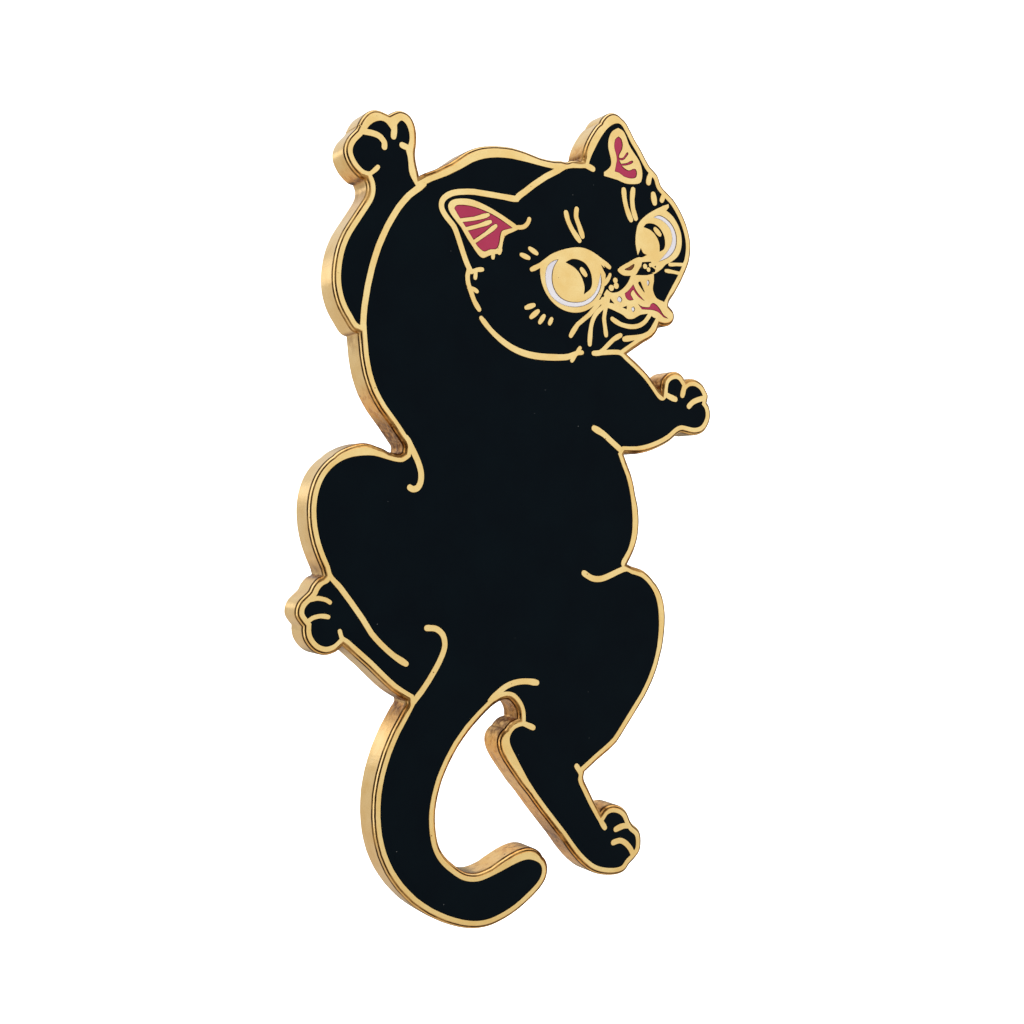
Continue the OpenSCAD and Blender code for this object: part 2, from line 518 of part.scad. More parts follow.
module right_ear_pink_cell() {
    polygon(runs([
        [[7.8, 23.78], [7.55, 23.55], [7.48, 23.1], [7.6, 22.7], [7.68, 22.35], [7.62, 22], [7.52, 21.55]],
        [[7.85, 21.5], [8.2, 21.32], [8.7, 21.25], [9.1, 21.35], [9.2, 21.65], [9.05, 21.88], [8.6, 21.72],
         [8.2, 21.85], [8, 22.05], [7.85, 22.35], [7.85, 22.65], [8.05, 23], [8.1, 23.35], [8, 23.65]],
    ]));
    line([[7.8, 22.38], [8.15, 22.42], [8.48, 22.8]], 0.12);
    line([[7.95, 22], [8.45, 22.12], [8.85, 22.32]], 0.12);
}

module nose_brown_cell() blob([[8.28, 15.4], [8.6, 15.58], [8.98, 15.8], [8.95, 15.6], [8.72, 15.4]]);

module mouth_pink_cell() polygon([[8.28, 13.88], [8.6, 14.12], [8.93, 14.5], [9.1, 14.2], [9.4, 13.87],
    [9.82, 13.52], [9.35, 13.75], [9.08, 14], [8.93, 14.18], [8.77, 14], [8.72, 13.85], [8.95, 13.53],
    [8.6, 13.48], [8.38, 13.62]]);

module tongue_pink_cell() polygon(runs([
    [[9.3, 13.3], [9.6, 13.14], [10.15, 13.14], [10.3, 13.32], [10.48, 13.43], [10.75, 13.33], [11.05, 13.05],
     [11.25, 12.77], [11.68, 12.52]],
    [[11.3, 12.6], [11, 12.83], [10.6, 12.97], [10.1, 12.99], [9.6, 12.98]],
]));

module teeth_white_cells() {
    blob([[7.7, 13.42], [7.85, 13.66], [8.06, 13.5], [7.95, 13.3]]);
    blob([[8.8, 12.95], [8.95, 13.08], [9.05, 12.92], [8.92, 12.76]]);
    blob([[10, 14.75], [10.1, 14.88], [10.18, 14.7], [10.08, 14.52]]);
}

// Small black cells of the muzzle: a crease and three specks
module muzzle_spot_cells() {
    blob([[9.33, 14.62], [9.48, 14.72], [9.62, 14.45], [9.8, 14.08], [9.55, 14.33]]);
    dot([6.6, 13.62], 0.09);
    polygon([[7.17, 13.46], [7.47, 13.18], [7.12, 13.22]]);
    polygon([[8.12, 12.98], [8.42, 13.1], [8.42, 12.9]]);
}

module face_cells() {
    left_pupil_cell();
    right_pupil_cell();
    left_eye_white_cell();
    right_eye_white_cell();
    left_ear_pink_cell();
    right_ear_pink_cell();
    nose_brown_cell();
    mouth_pink_cell();
    tongue_pink_cell();
    teeth_white_cells();
    muzzle_spot_cells();
}

// ---- plate and enamel ----

// A drawn shape between two depths behind it, in the pin's frame
module struck(from, to) rotate([90, 0, 0]) translate([0, 0, from]) linear_extrude(to - from)
    offset(delta = 0) scale(pin_h / drawn_h) translate(-seat_at) children();

module metal_base() color([0.87, 0.72, 0.42]) {
    struck(0, floor_t) outline();
    struck(floor_t, plate_t) difference() {
        offset(delta = -shoulder) outline();
        black_fill();
        face_cells();
    }
}

module enamel(tint) color(tint) struck(floor_t, plate_t - enamel_drop) offset(delta = -fill_gap) children();

black = [0.03, 0.05, 0.06];
pink = [0.74, 0.25, 0.42];
white = [0.88, 0.87, 0.9];
brown = [0.5, 0.28, 0.14];

// ---- posts, solder and clutches ----

// Stands its children, drawn up +Z, out of the plate's back at the height z
module on_back(z) translate([0, 0, z]) rotate([-90, 0, 0]) children();

upper_z = post_gap / 2;
lower_z = -post_gap / 2;

module post() color([0.85, 0.8, 0.68]) rotate_extrude() polygon([
    [0, 0], [head_r, 0], [head_r, head_t], [post_r, head_t], [post_r, groove_y],
    [post_r - groove_depth, groove_y + groove_depth], [post_r - groove_depth, groove_y + groove_w - groove_depth],
    [post_r, groove_y + groove_w], [post_r, post_len - tip_len], [0.08, post_len], [0, post_len],
]);

module solder_ring() color([0.75, 0.74, 0.72]) rotate_extrude() polygon([
    [head_r, 0], [head_r + solder_w, 0], [head_r + 0.25, 0.12], [head_r, head_t - 0.05],
]);

module clutch_disc() color([0.88, 0.76, 0.45]) translate([0, 0, disc_y]) rotate_extrude() union() {
    translate([post_r + bore_gap, 0]) square([disc_r - roll_r - post_r - bore_gap, sheet_t]);
    translate([disc_r - roll_r, roll_r]) circle(roll_r);
}

module rounded_plate(l, w, r, h) linear_extrude(h) union() {
    square([l - 2 * r, w], center = true);
    square([l, w - 2 * r], center = true);
    for (x = [-1, 1]) for (y = [-1, 1]) translate([x * (l / 2 - r), y * (w / 2 - r)]) circle(r);
}

// Open-bottomed box with a slot for a wing in each end and a hole for the post
module clutch_housing() color([0.9, 0.78, 0.47]) translate([0, 0, housing_y]) difference() {
    union() {
        rounded_plate(housing_w, housing_l, 1.2, housing_h);
        // foot that is crimped to the disc
        cylinder(r = housing_l / 2 + 0.6, h = sheet_t);
    }
    translate([0, 0, -1]) rounded_plate(housing_w - 2 * sheet_t, housing_l - 2 * sheet_t, 0.85,
        housing_h - sheet_t + 1);
    cylinder(r = post_r + bore_gap, h = 2 * housing_h);
    translate([-leaf_w / 2 - 0.1, -housing_l, sheet_t]) cube([leaf_w + 0.2, 2 * housing_l, 1.35]);
}

// Spring leaf on its side of the post, with the wing that is pressed to free the pin.
// side is 1 for the wing at the top and -1 for the one at the bottom; base is the leaf's height.
module leaf(side, base) color([0.82, 0.78, 0.66]) difference() {
    rotate([90, 0, 90]) translate([0, 0, -leaf_w / 2]) linear_extrude(leaf_w) scale([-side, 1])
        polygon(concat(
            [[leaf_offset - 2.2, base], [3.6, base]],
            [for (a = [0 : 15 : 75]) [3.6 + 1.1 * sin(a), base + 1.1 - 1.1 * cos(a)]],
            [[5.15, wing_top - 1], [5.5, wing_top], [5.15, wing_top], [4.8, wing_top - 0.9]],
            [for (a = [75 : -15 : 0]) [3.6 + 0.75 * sin(a), base + 1.1 - 0.75 * cos(a)]],
            [[leaf_offset - 2.2, base + sheet_t]]));
    translate([0, -side * leaf_offset, 0]) cylinder(r = leaf_hole_r, h = wing_top);
    // rounded corners of the wing
    for (x = [-1, 1]) translate([x * leaf_w / 2, 0, wing_top]) rotate([90, 0, 0])
        cylinder(r = 1.2, h = 20, center = true, $fn = 4);
}

module black_body_enamel() enamel(black) black_body_cell();
module black_foreleg_enamel() enamel(black) black_foreleg_cell();
module muzzle_spots_enamel() enamel(black) muzzle_spot_cells();
module left_pupil_enamel() enamel(black) left_pupil_cell();
module right_pupil_enamel() enamel(black) right_pupil_cell();
module left_eye_white_enamel() enamel(white) left_eye_white_cell();
module right_eye_white_enamel() enamel(white) right_eye_white_cell();
module left_ear_pink_enamel() enamel(pink) left_ear_pink_cell();
module right_ear_pink_enamel() enamel(pink) right_ear_pink_cell();
module nose_brown_enamel() enamel(brown) nose_brown_cell();
module mouth_pink_enamel() enamel(pink) mouth_pink_cell();
module tongue_pink_enamel() enamel(pink) tongue_pink_cell();
module teeth_white_enamel() enamel(white) teeth_white_cells();

metal_base();
black_body_enamel();
black_foreleg_enamel();
muzzle_spots_enamel();
left_pupil_enamel();
right_pupil_enamel();
left_eye_white_enamel();
right_eye_white_enamel();
left_ear_pink_enamel();
right_ear_pink_enamel();
nose_brown_enamel();
mouth_pink_enamel();
tongue_pink_enamel();
teeth_white_enamel();
on_back(upper_z) post();  // upper_post
on_back(lower_z) post();  // lower_post
on_back(upper_z) solder_ring();  // upper_solder_ring
on_back(lower_z) solder_ring();  // lower_solder_ring
on_back(upper_z) clutch_disc();  // upper_clutch_disc
on_back(lower_z) clutch_disc();  // lower_clutch_disc
on_back(upper_z) clutch_housing();  // upper_clutch_housing
on_back(lower_z) clutch_housing();  // lower_clutch_housing
on_back(upper_z) leaf(1, lower_leaf_y);  // upper_clutch_top_leaf
on_back(lower_z) leaf(1, lower_leaf_y);  // lower_clutch_top_leaf
on_back(upper_z) leaf(-1, upper_leaf_y);  // upper_clutch_bottom_leaf
on_back(lower_z) leaf(-1, upper_leaf_y);  // lower_clutch_bottom_leaf
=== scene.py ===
"""Looks of a hard enamel pin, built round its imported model. Metres, +Z up as worn, the front faces -Y."""
import math
from collections import defaultdict

import bmesh
import bpy
import numpy as np
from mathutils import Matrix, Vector
from mathutils.bvhtree import BVHTree
from mathutils.geometry import delaunay_2d_cdt


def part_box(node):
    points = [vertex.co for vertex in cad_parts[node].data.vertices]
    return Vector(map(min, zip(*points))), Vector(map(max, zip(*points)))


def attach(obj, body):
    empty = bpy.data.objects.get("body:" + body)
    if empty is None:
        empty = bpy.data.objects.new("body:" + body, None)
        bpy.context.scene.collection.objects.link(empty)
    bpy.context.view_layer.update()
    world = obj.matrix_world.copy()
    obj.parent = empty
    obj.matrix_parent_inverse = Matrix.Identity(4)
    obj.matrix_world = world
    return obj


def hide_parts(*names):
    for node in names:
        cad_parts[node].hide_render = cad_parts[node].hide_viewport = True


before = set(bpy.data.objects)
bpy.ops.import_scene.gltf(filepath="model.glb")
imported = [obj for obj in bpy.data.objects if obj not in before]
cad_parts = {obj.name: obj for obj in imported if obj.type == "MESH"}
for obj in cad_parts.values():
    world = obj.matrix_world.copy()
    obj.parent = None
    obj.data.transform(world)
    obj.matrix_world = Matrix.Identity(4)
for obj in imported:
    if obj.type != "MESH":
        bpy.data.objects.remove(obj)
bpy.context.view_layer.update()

# ---- sizes ----

MM = 0.001
MICRON = MM / 1000
# Radius of the rolled edge between the plate's wall and its front, and of the one at its back
SHOULDER_R = 0.25 * MM
BACK_EDGE_R = 0.12 * MM
# Strips of the rolled edge, from the wall to the front. T is painted dark shade and w is bare like the wall
ROLL_STRIPS = "TTTwwTTw"
# Radius of a raised line's polished edge, and how far the enamel sinks beside it
LINE_EDGE_R = 0.03 * MM
ENAMEL_SINK = 0.03 * MM
ENAMEL_SINK_W = 0.05 * MM
# Points of an outline closer than this are one
SAME_POINT = 0.012 * MM
# A sharper turn than this is a corner, and a curve gets a point for each smaller step of turn
CORNER = math.radians(42)
CURVE_STEP = math.radians(5)
# The longest reach of a point's tangent along its edge
TANGENT_REACH = 0.8 * MM
# Pieces that a turned part is made of, all round
AROUND = 120
POST_R = 0.6 * MM
# Height of a post's soldered head, and the keeper groove's depth
HEAD_T = 0.4 * MM
GROOVE_DEPTH = 0.2 * MM
SHEET_T = 0.35 * MM
# A face of the clutch's sheet metal that is larger than this is flat, and a smaller one is part of a bend
FLAT_AREA = 1.8 * MM * MM
# How far out from the plate's edge a nook and a gap are looked for
NOOK_REACH = 1.1 * MM
GAP_REACH = 4 * MM
FRONT = Vector((0, -1, 0))
BACK = Vector((0, 1, 0))

front_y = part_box("metal_base")[0].y
back_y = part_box("metal_base")[1].y
enamel_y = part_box("black_body_enamel")[0].y
cell_floor_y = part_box("black_body_enamel")[1].y

ENAMELS = {
    "black_body_enamel": "black",
    "black_foreleg_enamel": "black",
    "muzzle_spots_enamel": "black",
    "left_pupil_enamel": "black",
    "right_pupil_enamel": "black",
    "left_eye_white_enamel": "white",
    "right_eye_white_enamel": "white",
    "left_ear_pink_enamel": "pink",
    "right_ear_pink_enamel": "pink",
    "nose_brown_enamel": "brown",
    "mouth_pink_enamel": "pink",
    "tongue_pink_enamel": "pink",
    "teeth_white_enamel": "white",
}


# ---- outlines ----

def flat_rings(node, y, faces_front=True):
    """Outlines of a node's flat faces at depth y, as arrays of (x, z) with the solid on their left."""
    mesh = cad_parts[node].data
    spots = [(round(v.co.x, 8), round(v.co.z, 8)) for v in mesh.vertices]
    level = [abs(v.co.y - y) < SAME_POINT / 4 for v in mesh.vertices]
    edges = {}
    for face in mesh.polygons:
        if all(level[i] for i in face.vertices):
            corners = [spots[i] for i in face.vertices]
            for edge in zip(corners, corners[1:] + corners[:1]):
                edges[edge] = True
    after = defaultdict(list)
    for start, end in edges:
        if (end, start) not in edges:
            if faces_front:
                after[start].append(end)
            else:
                after[end].append(start)
    rings = []
    while after:
        ring = [min(after)]
        while True:
            ends = after[ring[-1]]
            end = ends.pop()
            if not ends:
                del after[ring[-1]]
            if end == ring[0] or end not in after:
                break
            ring.append(end)
        rings.append(np.array(ring))
    return [curved(merged(ring)) for ring in rings if len(ring) > 2]


def merged(ring):
    """The ring without points that all but touch the one before."""
    kept = [ring[0]]
    for point in ring[1:]:
        if np.linalg.norm(point - kept[-1]) > SAME_POINT:
            kept.append(point)
    if np.linalg.norm(kept[0] - kept[-1]) <= SAME_POINT:
        kept.pop()
    return np.array(kept)


def directions(ring):
    """Unit direction and length of the edge after each point, and of the one before it."""
    edge = np.roll(ring, -1, 0) - ring
    length = np.linalg.norm(edge, axis=1)
    ahead = edge / length[:, None]
    return ahead, length, np.roll(ahead, 1, 0), np.roll(length, 1)


def turns(ring):
    """Angle that the ring turns by at each point."""
    ahead, _, behind, _ = directions(ring)
    cross = behind[:, 0] * ahead[:, 1] - behind[:, 1] * ahead[:, 0]
    return np.arctan2(cross, (behind * ahead).sum(1))


def tangents(ring):
    """Direction of the ring at each point, along the circle through it and its two neighbours."""
    ahead, length, behind, length_behind = directions(ring)
    t = behind * length[:, None] + ahead * length_behind[:, None]
    return t / np.linalg.norm(t, axis=1)[:, None]


def curved(ring):
    """The ring with its curves drawn finer. Corners stay where they are."""
    ahead, length, _, _ = directions(ring)
    smooth = np.abs(turns(ring)) < CORNER
    tangent = tangents(ring)
    points = []
    for i in range(len(ring)):
        j = (i + 1) % len(ring)
        leave = tangent[i] if smooth[i] else ahead[i]
        arrive = tangent[j] if smooth[j] else ahead[i]
        bend = math.acos(max(-1, min(1, float(leave @ arrive))))
        count = max(1, math.ceil(bend / CURVE_STEP))
        reach = min(length[i], TANGENT_REACH)
        for k in range(count):
            t = k / count
            points.append(
                (2 * t**3 - 3 * t**2 + 1) * ring[i]
                + (t**3 - 2 * t**2 + t) * reach * leave
                + (3 * t**2 - 2 * t**3) * ring[j]
                + (t**3 - t**2) * reach * arrive
            )
    return merged(np.array(points))


def outward(ring):
    """Unit normal of the ring at each point, away from the solid on its left."""
    ahead, _, behind, _ = directions(ring)
    t = np.where((np.abs(turns(ring)) < CORNER)[:, None], tangents(ring), ahead + behind)
    t = t / np.maximum(np.linalg.norm(t, axis=1), 1e-9)[:, None]
    return np.stack([t[:, 1], -t[:, 0]], 1)


def edge_finder(ring):
    """A search tree of the ring's edges, each stood up as a short band along Y."""
    count = len(ring)
    band = [(x, y, z) for y in (-MM, MM) for x, z in ring]
    sides = [(i, (i + 1) % count, (i + 1) % count + count, i + count) for i in range(count)]
    return BVHTree.FromPolygons(band, sides)


def inward_steps(ring, depth):
    """Vector that takes each point into the solid by depth, or by what fits where the solid is narrow."""
    lean = 1 / np.maximum(np.cos(turns(ring) / 2), 0.6)
    full = -outward(ring) * (lean * depth)[:, None]
    share = np.full(len(ring), 0.05)
    edges = edge_finder(ring)
    for tried in np.linspace(0.1, 1, 10):
        gap = np.array([edges.find_nearest((x, 0, z))[3] for x, z in ring + full * tried])
        fits = gap > 0.96 * depth * tried
        share = np.where(fits & (share > tried - 0.11), tried, share)
    calmer = (np.roll(share, 1) + np.roll(share, -1)) / 2
    return full * np.minimum(share, calmer)[:, None]


def sheltered(ring, reach):
    """How closed in each point of the ring is, from 0 or so in the open to 1 in a nook. A point is closed
    in when the spot at reach straight out from it lies nearer to another part of the ring."""
    edges = edge_finder(ring)
    spots = ring + outward(ring) * reach
    room = np.array([edges.find_nearest((x, 0, z))[3] for x, z in spots])
    return np.clip(1.05 - room / reach, 0, 1)


def inside(points, rings):
    """Which points lie in the region that the rings bound, by counting the edges above each."""
    start = np.concatenate(rings)
    end = np.concatenate([np.roll(ring, -1, 0) for ring in rings])
    across = end[:, 0] - start[:, 0]
    slope = (end[:, 1] - start[:, 1]) / np.where(across == 0, 1, across)
    found = []
    for some in np.array_split(points, max(1, len(points) // 500)):
        x, z = some[:, 0, None], some[:, 1, None]
        spans = (start[:, 0] > x) != (end[:, 0] > x)
        above = start[:, 1] + (x - start[:, 0]) * slope > z
        found.append((spans & above).sum(1) % 2 == 1)
    return np.concatenate(found)


# ---- meshes ----

class Surface:
    """Points and faces of a mesh, with the exact normal of each face corner and each face's finish."""

    def __init__(self):
        self.points = []
        self.faces = []
        self.normals = []
        self.finish = []
        self.values = {}

    def ring(self, flat, y, values=()):
        """Adds a ring of points. values holds numbers for its points that the materials read by name."""
        first = len(self.points)
        self.points += [(x, y, z) for x, z in flat]
        numbers = list(range(first, len(self.points)))
        for name, row in dict(values).items():
            self.values.setdefault(name, {}).update(zip(numbers, row))
        return numbers

    def face(self, corners, normals, finish=0):
        self.faces.append(corners)
        self.normals += normals
        self.finish.append(finish)

    def band(self, low, high, low_normals, high_normals, finish=0):
        """Quads between two rings. Seen from outside, low runs to the right with high above it."""
        for i in range(len(low)):
            j = (i + 1) % len(low)
            self.face(
                [low[i], low[j], high[j], high[i]],
                [low_normals[i], low_normals[j], high_normals[j], high_normals[i]],
                finish,
            )

    def fill(self, rings, normal, finish=0):
        """Flat faces over the region that the rings of point numbers bound, all facing normal."""
        numbers = [i for ring in rings for i in ring]
        flat = [(self.points[i][0], self.points[i][2]) for i in numbers]
        edges = []
        first = 0
        for ring in rings:
            edges += [(first + k, first + (k + 1) % len(ring)) for k in range(len(ring))]
            first += len(ring)
        made = delaunay_2d_cdt([Vector(p) / MM for p in flat], edges, [], 0, 1e-7)
        spots, triangles, sources = made[0], made[2], made[3]
        y = self.points[numbers[0]][1]
        known = []
        for spot, source in zip(spots, sources):
            if source:
                known.append(numbers[source[0]])
            else:
                known.append(len(self.points))
                self.points.append((spot[0] * MM, y, spot[1] * MM))
        corners = np.array([[self.points[known[i]] for i in t] for t in triangles])
        middles = corners.mean(1)[:, [0, 2]]
        kept = inside(middles, [np.array([flat[k] for k in run]) for run in runs_of(rings)])
        for triangle, keep in zip(triangles, kept):
            if keep:
                order = triangle if normal.y < 0 else triangle[::-1]
                self.face([known[i] for i in order], [normal] * 3, finish)

    def build(self, name, materials):
        mesh = bpy.data.meshes.new(name)
        mesh.from_pydata(self.points, [], self.faces)
        mesh.polygons.foreach_set("material_index", self.finish)
        mesh.polygons.foreach_set("use_smooth", [True] * len(self.faces))
        for material in materials:
            mesh.materials.append(material)
        mesh.normals_split_custom_set([tuple(n) for n in self.normals])
        for value_name, known in self.values.items():
            layer = mesh.attributes.new(value_name, "FLOAT", "POINT")
            layer.data.foreach_set("value", [float(known.get(i, 0)) for i in range(len(self.points))])
        piece = bpy.data.objects.new(name, mesh)
        bpy.context.scene.collection.objects.link(piece)
        return piece


def runs_of(rings):
    """For each ring, the places of its points in one list of all the rings' points."""
    first = 0
    runs = []
    for ring in rings:
        runs.append(range(first, first + len(ring)))
        first += len(ring)
    return runs


def leaning(flat_normals, towards, angle):
    """The ring's normals, leant by angle towards a direction along Y."""
    return [
        Vector((x, 0, z)) * math.cos(angle) + towards * math.sin(angle)
        for x, z in flat_normals
    ]


def rolled_edge(surface, ring, steps, radius, y, towards, finishes, values=()):
    """Strips round a rolled edge from the wall to the flat face at y. Returns its first and last rings."""
    count = len(finishes)
    normals = outward(ring)
    rows = []
    for k in range(count + 1):
        angle = math.pi / 2 * k / count
        depth = 1 - math.cos(angle)
        at_y = y - towards.y * radius * (1 - math.sin(angle))
        row = surface.ring(ring + steps * depth, at_y, values)
        rows.append((row, leaning(normals, towards, angle)))
    for (low, low_n), (high, high_n), finish in zip(rows, rows[1:], finishes):
        if towards.y < 0:
            surface.band(low, high, low_n, high_n, finish)
        else:
            surface.band(high, low, high_n, low_n, finish)
    return rows[0][0], rows[-1][0]


def metal_base(materials):
    """The struck plate: rolled edges, wall, polished line tops, cell walls and floors, and its back."""
    surface = Surface()
    top, wall, back, painted_shade = range(4)
    edge = max(flat_rings("metal_base", back_y, faces_front=False), key=len)
    cells = sorted(flat_rings("metal_base", front_y), key=len)
    outer_top = max(cells, key=lambda ring: np.ptp(ring[:, 1]))
    cells = [ring for ring in cells if ring is not outer_top]
    normals = outward(edge)
    steps = inward_steps(edge, SHOULDER_R)
    # Strips marked T get the painted dark shade
    strips = [painted_shade if strip == "T" else wall for strip in ROLL_STRIPS]
    # How closed in each point of the edge is; the edge's painted shade and painted coppery reflection
    # follow these
    values = {"nook": sheltered(edge, NOOK_REACH), "gap": sheltered(edge, GAP_REACH)}
    wall_top, rim = rolled_edge(surface, edge, steps, SHOULDER_R, front_y, FRONT, strips, values)
    share = BACK_EDGE_R / SHOULDER_R
    ease = steps * share
    wall_low, seat = rolled_edge(surface, edge, ease, BACK_EDGE_R, back_y, BACK, [wall] * 4, values)
    side = leaning(normals, FRONT, 0)
    surface.band(wall_low, wall_top, side, side, wall)
    mouths = []
    for cell in cells:
        steps = inward_steps(cell, LINE_EDGE_R)
        # The two strips beside each cell are painted dark shade
        strips = [painted_shade, painted_shade, top]
        low, mouth = rolled_edge(surface, cell, steps, LINE_EDGE_R, front_y, FRONT, strips)
        floor = surface.ring(cell, cell_floor_y)
        side = leaning(outward(cell), FRONT, 0)
        surface.band(floor, low, side, side, wall)
        surface.fill([floor], FRONT, wall)
        mouths.append(mouth)
    surface.fill([rim] + mouths, FRONT, top)
    surface.fill([seat], BACK, back)
    return surface.build("struck_base", materials)


def enamel(node, material):
    """An enamel fill, flat on top, that sinks a little where it meets the metal."""
    surface = Surface()
    rims = []
    feet = []
    for ring in flat_rings(node, enamel_y):
        steps = inward_steps(ring, ENAMEL_SINK_W)
        slope = math.atan2(ENAMEL_SINK, ENAMEL_SINK_W)
        rim = surface.ring(ring + steps, enamel_y)
        lip = surface.ring(ring + steps * 0.35, enamel_y + ENAMEL_SINK * 0.3)
        brow = surface.ring(ring, enamel_y + ENAMEL_SINK)
        foot = surface.ring(ring, cell_floor_y)
        normals = outward(ring)
        flat = [FRONT] * len(ring)
        soft = leaning(normals, FRONT, math.pi / 2 - slope)
        steep = leaning(normals, FRONT, math.pi / 4)
        side = leaning(normals, FRONT, 0)
        surface.band(lip, rim, soft, flat)
        surface.band(brow, lip, steep, soft)
        surface.band(foot, brow, side, side)
        rims.append(rim)
        feet.append(foot)
    surface.fill(rims, FRONT)
    surface.fill(feet, BACK)
    return surface.build(node.replace("_enamel", "_fill"), [material])


def rounded(corners):
    """Rows (r, y, normal) of a turned outline whose corners (r, y, fillet) have their fillets drawn.
    The solid lies on the left of the outline, and its first and last corners stay as they are."""
    spots = [Vector(corner[:2]) for corner in corners]
    ways = [(b - a).normalized() for a, b in zip(spots, spots[1:])]
    rows = [(spots[0], ways[0])]
    for i in range(1, len(spots) - 1):
        before, after = ways[i - 1], ways[i]
        turn = before.angle_signed(after, 0)
        most = 0.48 * min((spots[i] - spots[i - 1]).length, (spots[i + 1] - spots[i]).length)
        back_off = min(corners[i][2] * math.tan(abs(turn) / 2), most)
        count = max(1, math.ceil(abs(turn) / math.radians(18)))
        for k in range(count + 1):
            t = k / count
            start = spots[i] - before * back_off
            end = spots[i] + after * back_off
            spot = start * (1 - t) ** 2 + spots[i] * 2 * t * (1 - t) + end * t**2
            rows.append((spot, (before * (1 - t) + after * t).normalized()))
    rows.append((spots[-1], ways[-1]))
    return [(spot.x, spot.y, Vector((way.y, -way.x))) for spot, way in rows]


def turned(name, axis, corners, material, closed=False, wobble=0):
    """A part turned round the axis (x, z) along Y. A closed outline has a hole through its middle."""
    surface = Surface()
    angles = np.linspace(0, 2 * math.pi, AROUND, endpoint=False)
    rows = []
    for r, y, normal in rounded(corners):
        radii = r * (1 + wobble * np.sin(3 * angles + 1) * np.cos(2 * angles))
        flat = np.stack([axis.x + radii * np.cos(angles), axis.z - radii * np.sin(angles)], 1)
        normals = [Vector((normal.x * math.cos(a), normal.y, -normal.x * math.sin(a))) for a in angles]
        rows.append((surface.ring(flat, y), normals))
    for (low, low_n), (high, high_n) in zip(rows, rows[1:]):
        surface.band(low, high, low_n, high_n)
    if not closed:
        surface.fill([rows[0][0]], FRONT)
        surface.fill([rows[-1][0]], BACK)
    return surface.build(name, [material])


def eased(name, node, material, edge_r, crown_r=0, crown_reach=0):
    """The node's shape with its edges eased by edge_r. Edges on its back end that lie further out than
    crown_reach from its middle are rounded by crown_r."""
    mesh = bmesh.new()
    mesh.from_mesh(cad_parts[node].data)
    bmesh.ops.remove_doubles(mesh, verts=mesh.verts, dist=MM / 1000)
    bmesh.ops.dissolve_limit(mesh, angle_limit=math.radians(1), verts=mesh.verts, edges=mesh.edges)
    low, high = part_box(node)
    middle = (low + high) / 2
    if crown_r:
        crown = [
            edge for edge in mesh.edges
            if all(abs(v.co.y - high.y) < MM / 100 for v in edge.verts)
            and (edge.verts[0].co - middle).xz.length > crown_reach
        ]
        bmesh.ops.bevel(mesh, geom=crown, offset=crown_r, segments=5, profile=0.5, affect="EDGES",
                        clamp_overlap=True)
    sharp = [e for e in mesh.edges if e.is_manifold and e.calc_face_angle(0) > math.radians(32)]
    bmesh.ops.bevel(mesh, geom=sharp, offset=edge_r, segments=2, profile=0.5, affect="EDGES",
                    clamp_overlap=True)
    for face in mesh.faces:
        bends = [edge.calc_face_angle(math.pi) for edge in face.edges]
        face.smooth = face.calc_area() < FLAT_AREA and min(bends) > math.radians(0.5)
    for edge in mesh.edges:
        edge.smooth = not edge.is_manifold or edge.calc_face_angle(0) < math.radians(50)
    data = bpy.data.meshes.new(name)
    mesh.to_mesh(data)
    mesh.free()
    data.materials.append(material)
    piece = bpy.data.objects.new(name, data)
    bpy.context.scene.collection.objects.link(piece)
    return piece


# ---- materials ----

